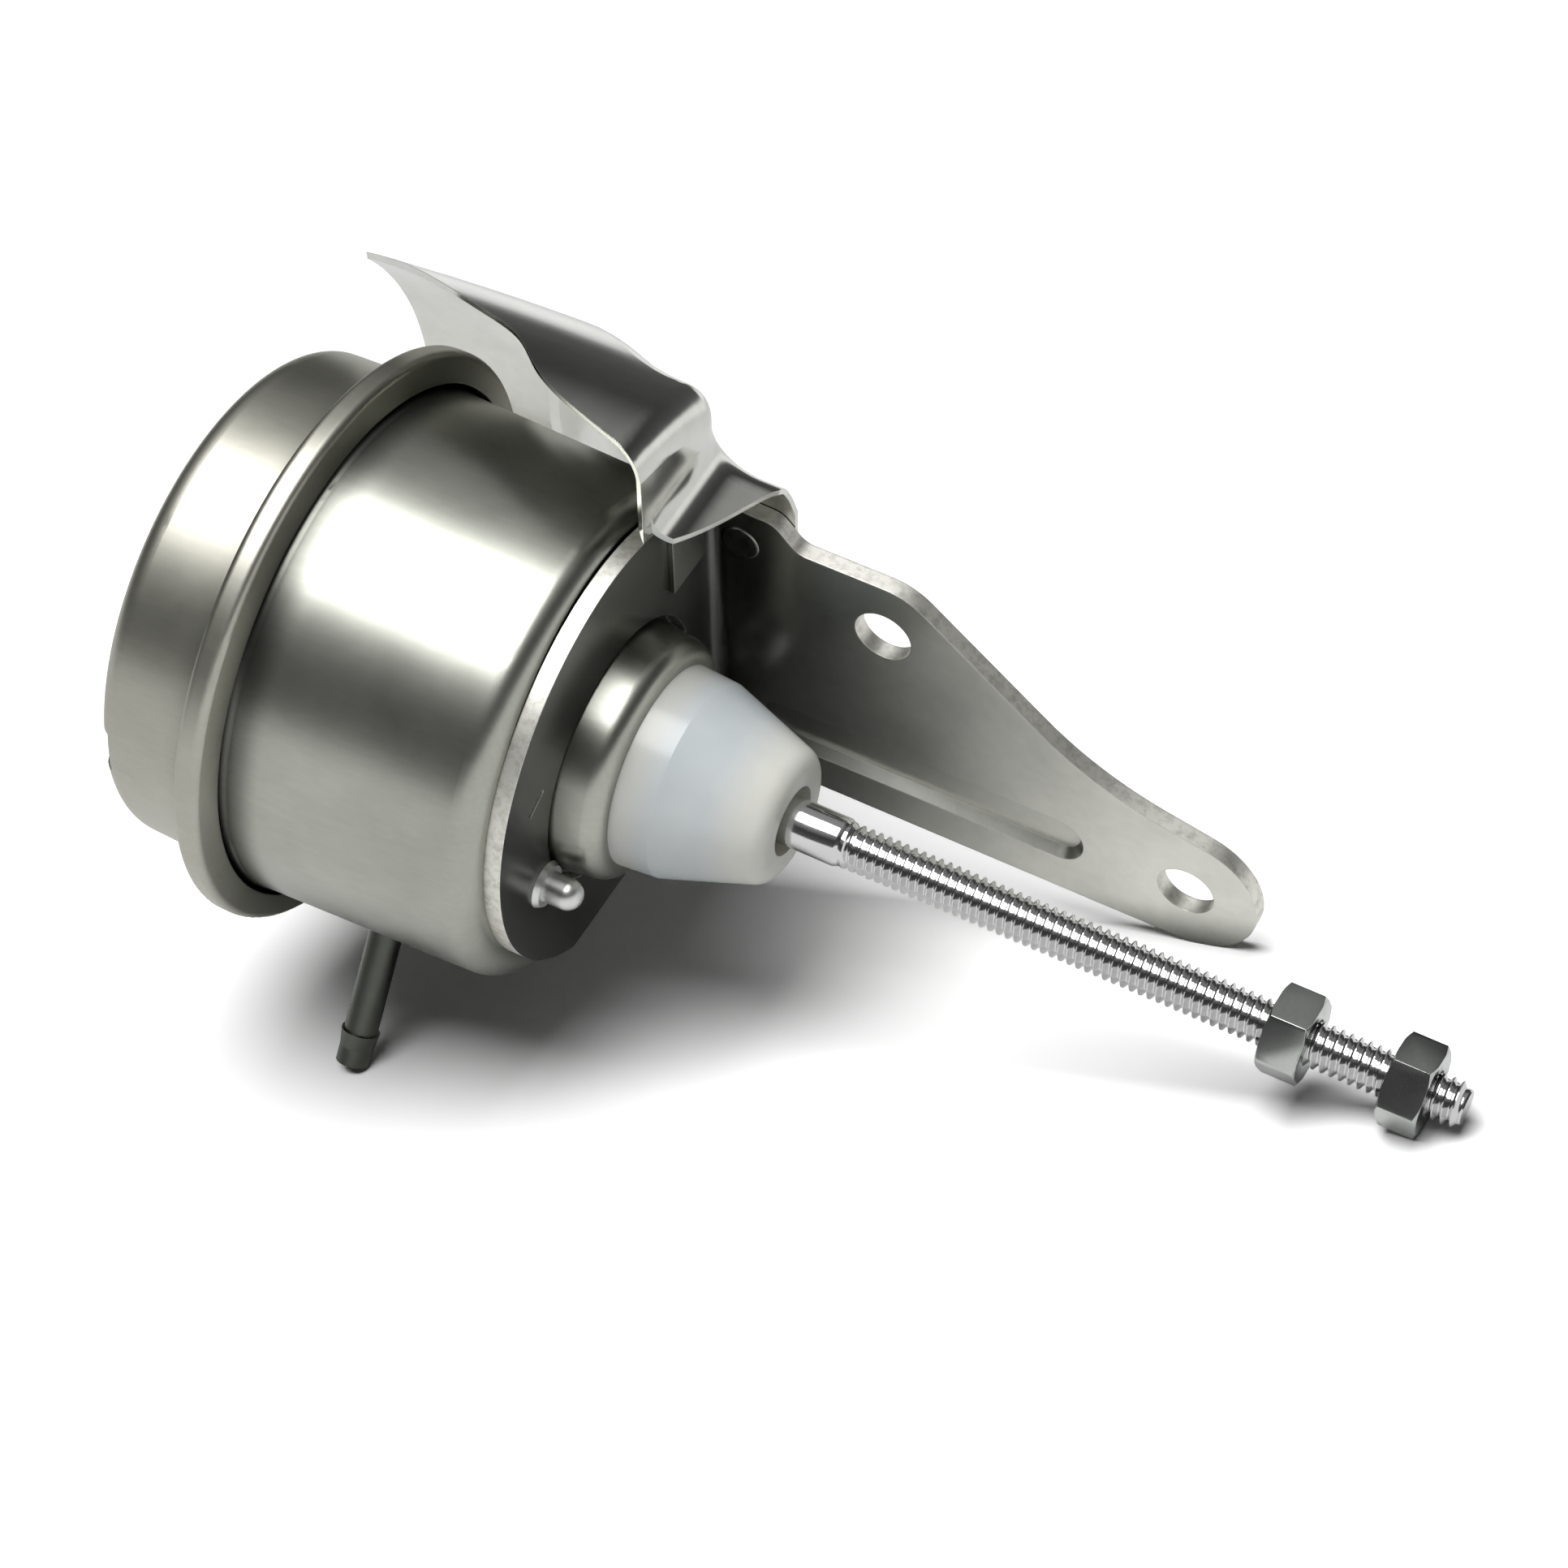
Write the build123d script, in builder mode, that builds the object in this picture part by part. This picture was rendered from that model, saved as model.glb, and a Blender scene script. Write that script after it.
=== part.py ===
from build123d import *

import os
from math import cos, radians, sin, sqrt, tan

# Wastegate actuator: a crimped pressed-steel diaphragm can with a hose nipple on its side,
# a folded mounting bracket riveted to its nose, a heat shield, and a threaded rod with two
# nuts that the diaphragm pushes out through a nylon guide cone.
# Millimetres. The origin is the rod axis at the bracket's front face. +X runs out along the
# rod, +Y through the bracket's ear and +Z across the ear, towards its upper hole.
# Angles about the rod are measured from +Y towards +Z.

# can
shell_t = 0.9
drum_front_r = 35.2
drum_draft = 1.2
drum_corner_r = 4.0
drum_root_r = 2.5
neck_base_r = 18.3
neck_top_r = 17.0
neck_length = 8.9
neck_root_r = 0.5
neck_corner_r = 3.0
nose_hole_r = 7.5
can_flange_r = 40.2
rim_r = 41.4
rim_rear_x = -43.8
rim_corner_r = 1.2
lip_lean = 14.4
lip_inner_r = 37.3
crimp_gap = 0.08
cap_rear_x = -60.0
cap_rear_r = 35.3
cap_front_r = 35.9
cap_corner_r = 3.5
cap_root_r = 1.5
notch_angle = 175.0
notch_width = 7.0
notch_depth = 2.0
notch_inner_r = 24.0

# diaphragm and the stack that it carries
diaphragm_t = 1.1
roll_front_x = -35.0
roll_gap = 0.4
skirt_gap = 0.25
cup_t = 1.0
cup_r = 30.4
cup_corner_r = 3.0
cup_skirt_x = -34.0
stack_rear_x = -56.0
washer_t = 1.0
washer_r = 9.0
retainer_t = 1.0
retainer_r = 20.0
stack_hole_gap = 0.1

# return spring and its seat
spring_wire_r = 1.5
spring_mean_r = 22.0
spring_turns = 6.0
spring_gap = 0.3
seat_t = 0.9
seat_depth = 3.0
seat_hole_r = 12.0
seat_rivet_gap = 1.1
seat_rim_width = 2.65

# bracket
bracket_t = 2.5
plate_r = 32.4
plate_centre_y = 1.5
plate_centre_z = 0.8
neck_gap = 0.6
bend_inner_r = 2.0
ear_inner_y = 25.8
upper_hole_x = 26.0
upper_hole_z = 10.5
lower_hole_x = 72.3
lower_hole_z = -16.8
ear_hole_r = 4.2
upper_round_r = 9.6
ear_tip_r = 10.5
shoulder_z = 24.0
shoulder_x = 9.6
shoulder_run = 3.6
shoulder_r = 3.0
upper_slope = 39.0
lower_slope = 13.0
ear_hollow_r = 45.0
bead_width = 8.0
bead_depth = 1.5
bead_start_x = 6.0
bead_end_x = 57.0
bead_z = -17.0
mark_y = -20.8
mark_z = 11.2
mark_length = 4.2
mark_width = 0.9
mark_depth = 0.8
mark_angle = 27.0

# rivets through the plate and the can's nose
rivet_circle_r = 21.4
rivet_angles = (197.3, 320.0)
rivet_shank_r = 2.0
rivet_collar_r = 3.4
rivet_collar_h = 0.8
rivet_nose_r = 2.2
rivet_nose_h = 5.7
rivet_tail_r = 3.2
rivet_tail_h = 1.2
rivet_gap = 0.05

# rod, nuts, guide and seal
rod_r = 3.4
shank_end_x = 33.9
thread_r = 3.175
rod_end_x = 122.3
rod_chamfer = 0.8
rod_tenon_r = 3.0
rod_head_r = 4.6
rod_head_h = 1.0
thread_relief = 0.6
nut_across_flats = 11.11
nut_thickness = 5.56
nut_chamfer = 0.75
nut_bore_gap = 0.05
adjuster_nut_x = 95.7
lock_nut_x = 112.2
adjuster_nut_angle = 114.0
lock_nut_angle = 105.0
cone_base_r = 14.4
cone_band = 5.6
cone_band_draft = 0.4
cone_tip_r = 9.2
cone_end_x = 26.3
cone_tip_round = 2.8
cone_recess_r = 5.0
cone_recess_depth = 3.0
cone_bore_gap = 0.05
cone_spigot_gap = 0.1
cone_spigot_end_x = 3.0
seal_pocket_r = 6.0
seal_length = 3.0
seal_gap = 0.05
push_ring_t = 0.9
push_ring_r = 11.0

# hose nipple on the drum
nipple_x = -26.1
nipple_angle = 235.6
nipple_r = 2.4
nipple_bore_r = 1.5
nipple_tip_r = 59.2
nipple_barb_r = 2.75
nipple_barb_length = 5.0
nipple_collar_r = 4.3
nipple_collar_h = 1.0
nipple_gap = 0.05
nipple_inset = 1.6

# heat shield
shield_t = 0.8
shield_rear_x = -61.2
shield_rear_low_x = -59.0
shield_crown_x = -30.0
shield_low_z = -12.0
shield_side_r = 5.0
shield_saddle_r = 6.0
shield_roof_gap = 2.2
shield_rise = 19.8
shield_rear_drop = 2.0
shield_front_drop = 0.1
shield_side_rear_x = -39.4
shield_side_front_x = -8.0
shield_side_bend_r = 10.0
shield_near_edge = [(-51.0, 34.5), (-43.0, 30.3), (-34.0, 26.1), (-26.0, 22.2), (-19.5, 16.2)]
shield_near_edge += [(-10.9, 11.5)]
shield_tip_y = 38.7
shield_tip_z = 34.0
shield_near_y = 7.4
shield_lip_near_x = 3.0
shield_lip_near_y = 11.1
shield_lip_far_x = 10.2
shield_lip_far_y = 26.4
shield_tab_y = 18.5
shield_tab_width = 8.0
shield_tab_z = 17.0
shield_flange_gap = 0.1
shield_flange_x = 11.4
shield_flange_z = 14.0
shield_flange_top_z = 24.5
shield_side_low_x = -10.0
shield_side_low_z = 21.5

# derived places
plate_back_x = -bracket_t
drum_rear_r = drum_front_r + drum_draft
flange_front_x = rim_rear_x + shell_t + diaphragm_t + shell_t
nose_x = plate_back_x + neck_length
rod_bore_r = rod_r + cone_bore_gap
stack_hole_r = rod_tenon_r + stack_hole_gap
retainer_x = stack_rear_x + washer_t
membrane_x = retainer_x + retainer_t
cup_x = membrane_x + diaphragm_t
front_washer_x = cup_x + cup_t
shoulder_seat_x = front_washer_x + washer_t
bracket_bottom_z = lower_hole_z - ear_tip_r
bend_start_y = ear_inner_y - bend_inner_r
seat_front_x = plate_back_x - shell_t
seat_land_r = rivet_circle_r + rivet_tail_r + seat_rivet_gap
seat_rim_r = seat_land_r + 1.5 * seat_t + seat_rim_width
spring_rear_x = front_washer_x + spring_gap + spring_wire_r
spring_front_x = seat_front_x - seat_depth - seat_t - spring_gap - spring_wire_r

os.makedirs("parts", exist_ok=True)

# rear shell
lip_rise = tan(radians(lip_lean))
rim_front_x = flange_front_x + crimp_gap + shell_t / cos(radians(lip_lean))
rim_front_x -= (rim_r - can_flange_r) * lip_rise
lip_x = rim_front_x + (rim_r - lip_inner_r) * lip_rise
notch_plane = Plane(
    origin=(cap_rear_x, 0, 0),
    x_dir=(0, cos(radians(notch_angle)), sin(radians(notch_angle))),
    z_dir=(1, 0, 0),
)
notch_side_plane = Plane(
    origin=(0, 0, 0),
    x_dir=(1, 0, 0),
    z_dir=(0, -sin(radians(notch_angle)), cos(radians(notch_angle))),
)
# where the corner's middle surface reaches the back of the notch floor
notch_floor_x = cap_rear_x + notch_depth
notch_floor_r = cap_rear_r - cap_corner_r
notch_floor_r += sqrt((cap_corner_r - shell_t / 2) ** 2 - (cap_corner_r - notch_depth - shell_t) ** 2)

with BuildPart() as rear_shell:
    with BuildSketch(Plane.XY) as rear_profile:
        with BuildLine() as rear_path:
            FilletPolyline(
                (cap_rear_x, 0),
                (cap_rear_x, cap_rear_r),
                (rim_rear_x, cap_front_r),
                (rim_rear_x, rim_r),
                (rim_front_x, rim_r),
                (lip_x, lip_inner_r),
                radius=[cap_corner_r, cap_root_r, rim_corner_r, rim_corner_r],
            )
            offset(amount=shell_t, side=Side.RIGHT)
        make_face()
    revolve(axis=Axis.X)
    # pressed notch at the rear edge, with the metal it pushed inwards
    with BuildSketch(notch_side_plane) as notch_swell:
        with BuildLine():
            Polyline(
                (notch_floor_x + shell_t, notch_floor_r),
                (notch_floor_x + shell_t, notch_inner_r - shell_t),
                (cap_rear_x + shell_t / 2, notch_inner_r - shell_t),
                (cap_rear_x + shell_t / 2, cap_rear_r - cap_corner_r),
            )
            RadiusArc(
                (cap_rear_x + shell_t / 2, cap_rear_r - cap_corner_r),
                (notch_floor_x + shell_t, notch_floor_r),
                cap_corner_r - shell_t / 2,
            )
        make_face()
    extrude(amount=notch_width / 2 + shell_t, both=True)
    with BuildSketch(notch_plane) as notch_groove:
        with Locations((notch_inner_r + notch_width, 0)):
            SlotOverall(2 * notch_width, notch_width)
        with Locations((notch_inner_r + 2 * notch_width, 0)):
            Rectangle(2 * notch_width, notch_width)
    extrude(amount=notch_depth, mode=Mode.SUBTRACT)
rear_shell.part.label = "rear_shell"
export_step(rear_shell.part, "parts/rear_shell.step")

# front shell
nipple_dir = (0, cos(radians(nipple_angle)), sin(radians(nipple_angle)))
nipple_plane = Plane(origin=(nipple_x, 0, 0), x_dir=(1, 0, 0), z_dir=nipple_dir)

with BuildPart() as front_shell:
    with BuildSketch(Plane.XY) as front_profile:
        with BuildLine() as front_path:
            FilletPolyline(
                (flange_front_x, can_flange_r),
                (flange_front_x, drum_rear_r),
                (plate_back_x, drum_front_r),
                (plate_back_x, neck_base_r),
                (nose_x, neck_top_r),
                (nose_x, nose_hole_r),
                radius=[drum_root_r, drum_corner_r, neck_root_r, neck_corner_r],
            )
            offset(amount=shell_t, side=Side.RIGHT)
        make_face()
    revolve(axis=Axis.X)
    with BuildSketch(nipple_plane) as nipple_hole:
        Circle(nipple_r + nipple_gap)
    extrude(amount=rim_r, mode=Mode.SUBTRACT)
    # rivet holes
    with BuildSketch(Plane.YZ.offset(plate_back_x)) as nose_rivet_holes:
        for angle in rivet_angles:
            with Locations(
                (rivet_circle_r * cos(radians(angle)), rivet_circle_r * sin(radians(angle)))
            ):
                Circle(rivet_shank_r + rivet_gap)
    extrude(amount=-2 * shell_t, mode=Mode.SUBTRACT)
front_shell.part.label = "front_shell"
export_step(front_shell.part, "parts/front_shell.step")

# diaphragm
bead_x = rim_rear_x + shell_t + diaphragm_t / 2
roll_outer_r = drum_rear_r - drum_draft / 5 - shell_t - roll_gap - diaphragm_t / 2
roll_inner_r = cup_r + skirt_gap + diaphragm_t / 2
roll_turn_r = (roll_outer_r - roll_inner_r) * 0.49

with BuildPart() as diaphragm:
    with BuildSketch(Plane.XY) as membrane_section:
        with BuildLine() as membrane_path:
            FilletPolyline(
                (bead_x, can_flange_r),
                (bead_x, roll_outer_r),
                (roll_front_x, roll_outer_r),
                (roll_front_x, roll_inner_r),
                (membrane_x + diaphragm_t / 2, roll_inner_r),
                (membrane_x + diaphragm_t / 2, stack_hole_r),
                radius=[roll_turn_r, roll_turn_r, roll_turn_r, cup_corner_r + diaphragm_t / 2],
            )
        trace(line_width=diaphragm_t)
    revolve(axis=Axis.X)
diaphragm.part.label = "diaphragm"
export_step(diaphragm.part, "parts/diaphragm.step")

# piston cup
with BuildPart() as piston_cup:
    with BuildSketch(Plane.XY) as cup_profile:
        with BuildLine() as cup_path:
            FilletPolyline(
                (cup_x, stack_hole_r),
                (cup_x, cup_r),
                (cup_skirt_x, cup_r),
                radius=cup_corner_r,
            )
            offset(amount=cup_t, side=Side.RIGHT)
        make_face()
    revolve(axis=Axis.X)
piston_cup.part.label = "piston_cup"
export_step(piston_cup.part, "parts/piston_cup.step")

# retainer plate and washers
with BuildPart() as retainer_plate:
    with BuildSketch(Plane.YZ.offset(retainer_x)) as retainer_ring:
        Circle(retainer_r)
        Circle(stack_hole_r, mode=Mode.SUBTRACT)
    extrude(amount=retainer_t)
retainer_plate.part.label = "retainer_plate"
export_step(retainer_plate.part, "parts/retainer_plate.step")

with BuildPart() as rear_washer:
    with BuildSketch(Plane.YZ.offset(stack_rear_x)) as rear_ring:
        Circle(washer_r)
        Circle(stack_hole_r, mode=Mode.SUBTRACT)
    extrude(amount=washer_t)
rear_washer.part.label = "rear_washer"
export_step(rear_washer.part, "parts/rear_washer.step")

with BuildPart() as front_washer:
    with BuildSketch(Plane.YZ.offset(front_washer_x)) as front_ring:
        Circle(washer_r)
        Circle(stack_hole_r, mode=Mode.SUBTRACT)
    extrude(amount=washer_t)
front_washer.part.label = "front_washer"
export_step(front_washer.part, "parts/front_washer.step")

# return spring
spring_length = spring_front_x - spring_rear_x

with BuildPart() as return_spring:
    with BuildLine() as coil:
        Helix(
            pitch=spring_length / spring_turns,
            height=spring_length,
            radius=spring_mean_r,
            center=(spring_rear_x, 0, 0),
            direction=(1, 0, 0),
        )
    with BuildSketch(Plane(origin=coil.line @ 0, z_dir=coil.line % 0)) as wire:
        Circle(spring_wire_r)
    sweep(path=coil.line, is_frenet=True)
return_spring.part.label = "return_spring"
export_step(return_spring.part, "parts/return_spring.step")

# spring seat
with BuildPart() as spring_seat:
    with BuildSketch(Plane.XY) as seat_profile:
        with BuildLine() as seat_path:
            FilletPolyline(
                (seat_front_x, seat_rim_r),
                (seat_front_x, seat_land_r + 1.5 * seat_t),
                (seat_front_x - seat_depth, seat_land_r - 0.5 * seat_t),
                (seat_front_x - seat_depth, seat_hole_r),
                radius=2 * seat_t,
            )
            offset(amount=seat_t, side=Side.RIGHT)
        make_face()
    revolve(axis=Axis.X)
spring_seat.part.label = "spring_seat"
export_step(spring_seat.part, "parts/spring_seat.step")

# actuator rod
with BuildPart() as actuator_rod:
    with BuildSketch(Plane.XY) as rod_profile:
        with BuildLine():
            Polyline(
                (stack_rear_x - rod_head_h, 0),
                (stack_rear_x - rod_head_h, rod_head_r - rod_head_h / 2),
                (stack_rear_x - rod_head_h / 2, rod_head_r),
                (stack_rear_x, rod_head_r),
                (stack_rear_x, rod_tenon_r),
                (shoulder_seat_x, rod_tenon_r),
                (shoulder_seat_x, rod_r),
                (shank_end_x, rod_r),
                (shank_end_x + thread_relief, thread_r),
                (rod_end_x - rod_chamfer, thread_r),
                (rod_end_x, thread_r - rod_chamfer),
                (rod_end_x, 0),
                close=True,
            )
        make_face()
    revolve(axis=Axis.X)
actuator_rod.part.label = "actuator_rod"
export_step(actuator_rod.part, "parts/actuator_rod.step")

# nuts
nut_corner_r = nut_across_flats / sqrt(3)


def make_nut(label, start_x, angle):
    """Hexagon nut, both faces chamfered, one of its corners at the given angle."""
    with BuildPart() as nut:
        with BuildSketch(Plane.YZ.offset(start_x)) as hexagon:
            RegularPolygon(nut_corner_r, 6, rotation=angle)
            Circle(thread_r + nut_bore_gap, mode=Mode.SUBTRACT)
        extrude(amount=nut_thickness)
        with BuildSketch(Plane.XY) as turned:
            with BuildLine():
                Polyline(
                    (start_x, 0),
                    (start_x, nut_corner_r - nut_chamfer),
                    (start_x + nut_chamfer * tan(radians(30)), nut_corner_r),
                    (start_x + nut_thickness - nut_chamfer * tan(radians(30)), nut_corner_r),
                    (start_x + nut_thickness, nut_corner_r - nut_chamfer),
                    (start_x + nut_thickness, 0),
                    close=True,
                )
            make_face()
        revolve(axis=Axis.X, mode=Mode.INTERSECT)
    nut.part.label = label
    return nut.part


adjuster_nut = make_nut("adjuster_nut", adjuster_nut_x, adjuster_nut_angle)
export_step(adjuster_nut, "parts/adjuster_nut.step")
lock_nut = make_nut("lock_nut", lock_nut_x, lock_nut_angle)
export_step(lock_nut, "parts/lock_nut.step")

# guide cone, seal and ring
with BuildPart() as guide_cone:
    with BuildSketch(Plane.XY) as cone_profile:
        with BuildLine():
            Polyline(
                (cone_spigot_end_x, rod_bore_r),
                (cone_spigot_end_x, nose_hole_r - cone_spigot_gap),
                (nose_x, nose_hole_r - cone_spigot_gap),
                (nose_x, cone_base_r),
                (nose_x + cone_band, cone_base_r - cone_band_draft),
                (cone_end_x, cone_tip_r),
                (cone_end_x, cone_recess_r),
                (cone_end_x - cone_recess_depth, cone_recess_r - 0.4),
                (cone_end_x - cone_recess_depth, rod_bore_r),
                close=True,
            )
        make_face()
        outer_tip = cone_profile.vertices().group_by(Axis.X)[-1].sort_by(Axis.Y)[-1]
        fillet(outer_tip, radius=cone_tip_round)
    revolve(axis=Axis.X)
    with BuildSketch(Plane.YZ.offset(cone_spigot_end_x)) as seal_pocket:
        Circle(seal_pocket_r)
    extrude(amount=seal_length, mode=Mode.SUBTRACT)
guide_cone.part.label = "guide_cone"
export_step(guide_cone.part, "parts/guide_cone.step")

with BuildPart() as rod_seal:
    with BuildSketch(Plane.YZ.offset(cone_spigot_end_x + seal_gap)) as seal_ring:
        Circle(seal_pocket_r - seal_gap)
        Circle(rod_bore_r, mode=Mode.SUBTRACT)
    extrude(amount=seal_length - 2 * seal_gap)
rod_seal.part.label = "rod_seal"
export_step(rod_seal.part, "parts/rod_seal.step")

with BuildPart() as cone_retainer:
    with BuildSketch(Plane.YZ.offset(nose_x - shell_t)) as push_ring:
        Circle(push_ring_r)
        Circle(nose_hole_r, mode=Mode.SUBTRACT)
    extrude(amount=-push_ring_t)
cone_retainer.part.label = "cone_retainer"
export_step(cone_retainer.part, "parts/cone_retainer.step")

# mounting bracket
flat_z = upper_hole_z + upper_round_r
round_corner = (upper_hole_x + upper_round_r * tan(radians(upper_slope / 2)), flat_z)
tip_start = (
    lower_hole_x + ear_tip_r * sin(radians(lower_slope)),
    lower_hole_z + ear_tip_r * cos(radians(lower_slope)),
)
# where the two sloping edges of the ear would meet
edge_drop = round_corner[1] - tip_start[1] - (tip_start[0] - round_corner[0]) * tan(
    radians(lower_slope)
)
edge_run = edge_drop / (tan(radians(upper_slope)) - tan(radians(lower_slope)))
hollow_corner = (
    round_corner[0] + edge_run,
    round_corner[1] - edge_run * tan(radians(upper_slope)),
)
# the plate's round edge where the fold starts
fold_top_z = plate_centre_z + sqrt(plate_r**2 - (bend_start_y - plate_centre_y) ** 2)

with BuildPart() as mounting_bracket:
    with BuildSketch(Plane.YZ.offset(plate_back_x)) as plate_outline:
        with Locations((plate_centre_y, plate_centre_z)):
            Circle(plate_r)
        with Locations(((plate_centre_y + bend_start_y) / 2, bracket_bottom_z / 2)):
            Rectangle(bend_start_y - plate_centre_y, -bracket_bottom_z)
        with Locations((bend_start_y - plate_r, bracket_bottom_z + plate_r)):
            Rectangle(2 * plate_r, 2 * plate_r, mode=Mode.INTERSECT)
        Circle(neck_base_r + neck_gap, mode=Mode.SUBTRACT)
        for angle in rivet_angles:
            with Locations(
                (rivet_circle_r * cos(radians(angle)), rivet_circle_r * sin(radians(angle)))
            ):
                Circle(rivet_shank_r + rivet_gap, mode=Mode.SUBTRACT)
    extrude(amount=bracket_t)
    # the fold
    with BuildSketch(Plane.XZ.offset(-bend_start_y)) as fold_section:
        with Locations((-bracket_t / 2, (bracket_bottom_z + fold_top_z) / 2)):
            Rectangle(bracket_t, fold_top_z - bracket_bottom_z)
    revolve(
        axis=Axis((bend_inner_r, bend_start_y, 0), (0, 0, -1)),
        revolution_arc=90,
    )
    # the ear
    with BuildSketch(Plane.XZ.offset(-ear_inner_y)) as ear_outline:
        with BuildLine():
            FilletPolyline(
                (bend_inner_r, fold_top_z),
                (shoulder_x, shoulder_z),
                (shoulder_x + shoulder_run, flat_z),
                round_corner,
                hollow_corner,
                tip_start,
                radius=[shoulder_r, shoulder_r, upper_round_r, ear_hollow_r],
            )
            ThreePointArc(
                tip_start,
                (lower_hole_x + ear_tip_r, lower_hole_z),
                (lower_hole_x, bracket_bottom_z),
            )
            Polyline(
                (lower_hole_x, bracket_bottom_z),
                (bend_inner_r, bracket_bottom_z),
                (bend_inner_r, fold_top_z),
            )
        make_face()
    extrude(amount=-bracket_t)
    # stiffening bead, pressed from the inner face
    with BuildSketch(Plane.XZ.offset(-ear_inner_y - bracket_t)) as bead_swell:
        with Locations(((bead_start_x + bead_end_x) / 2, bead_z)):
            SlotOverall(bead_end_x - bead_start_x, bead_width)
    extrude(amount=-bead_depth, taper=35)
    with BuildSketch(Plane.XZ.offset(-ear_inner_y)) as bead_valley:
        with Locations(((bead_start_x + bead_end_x) / 2, bead_z)):
            SlotOverall(bead_end_x - bead_start_x, bead_width)
    extrude(amount=-bead_depth, taper=35, mode=Mode.SUBTRACT)
    with BuildSketch(Plane.XZ.offset(-ear_inner_y)) as ear_holes:
        with Locations((upper_hole_x, upper_hole_z), (lower_hole_x, lower_hole_z)):
            Circle(ear_hole_r)
    extrude(amount=-bracket_t, mode=Mode.SUBTRACT)
    with BuildSketch(Plane.YZ) as locating_mark:
        with Locations((mark_y, mark_z)):
            SlotOverall(mark_length, mark_width, rotation=mark_angle)
    extrude(amount=-mark_depth, mode=Mode.SUBTRACT)
mounting_bracket.part.label = "mounting_bracket"
export_step(mounting_bracket.part, "parts/mounting_bracket.step")

# bracket rivets
for number, angle in enumerate(rivet_angles, start=1):
    rivet_y = rivet_circle_r * cos(radians(angle))
    rivet_z = rivet_circle_r * sin(radians(angle))
    with BuildPart() as rivet:
        with BuildSketch(Plane.XY.offset(rivet_z)) as rivet_profile:
            with BuildLine():
                Polyline(
                    (rivet_nose_h, rivet_y),
                    (seat_front_x - rivet_tail_h, rivet_y),
                    (seat_front_x - rivet_tail_h, rivet_y + rivet_tail_r - rivet_tail_h / 2),
                    (seat_front_x, rivet_y + rivet_tail_r),
                    (seat_front_x, rivet_y + rivet_shank_r),
                    (0, rivet_y + rivet_shank_r),
                    (0, rivet_y + rivet_collar_r),
                    (rivet_collar_h, rivet_y + rivet_collar_r - rivet_collar_h / 2),
                    (rivet_collar_h, rivet_y + rivet_nose_r),
                    (rivet_nose_h - rivet_nose_r, rivet_y + rivet_nose_r),
                )
                RadiusArc(
                    (rivet_nose_h - rivet_nose_r, rivet_y + rivet_nose_r),
                    (rivet_nose_h, rivet_y),
                    rivet_nose_r,
                )
            make_face()
        revolve(axis=Axis((0, rivet_y, rivet_z), (1, 0, 0)))
    rivet.part.label = f"bracket_rivet_{number}"
    export_step(rivet.part, f"parts/bracket_rivet_{number}.step")

# hose nipple
drum_length = plate_back_x - flange_front_x
nipple_wall_r = drum_front_r + drum_draft * (plate_back_x - nipple_x + nipple_collar_r) / drum_length
nipple_start_r = nipple_wall_r - shell_t - nipple_inset

with BuildPart() as hose_nipple:
    with BuildSketch(nipple_plane.offset(nipple_start_r)) as tube:
        Circle(nipple_r)
    extrude(amount=nipple_tip_r - nipple_start_r)
    with BuildSketch(nipple_plane.offset(nipple_wall_r)) as collar:
        Circle(nipple_collar_r)
    extrude(amount=nipple_collar_h)
    with BuildSketch(nipple_plane.offset(nipple_tip_r - nipple_barb_length)) as barb_root:
        Circle(nipple_barb_r)
    with BuildSketch(nipple_plane.offset(nipple_tip_r - 0.5)) as barb_end:
        Circle(nipple_r - 0.3)
    loft()
    with BuildSketch(nipple_plane.offset(nipple_start_r)) as tube_bore:
        Circle(nipple_bore_r)
    extrude(amount=nipple_tip_r, mode=Mode.SUBTRACT)
hose_nipple.part.label = "hose_nipple"
export_step(hose_nipple.part, "parts/hose_nipple.step")

# heat shield
side_y = ear_inner_y + bracket_t + shield_flange_gap + shield_t
shield_roof_z = shoulder_z + shield_side_r + shield_roof_gap
wall_foot_z = shield_roof_z + shield_saddle_r
shield_crown_r = shield_roof_z + shield_rise
shield_rear_r = shield_crown_r - shield_rear_drop
shield_front_r = shield_crown_r - shield_front_drop
form_front_x = 2 * shield_flange_x
form_low_z = shield_low_z - shield_t


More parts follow.
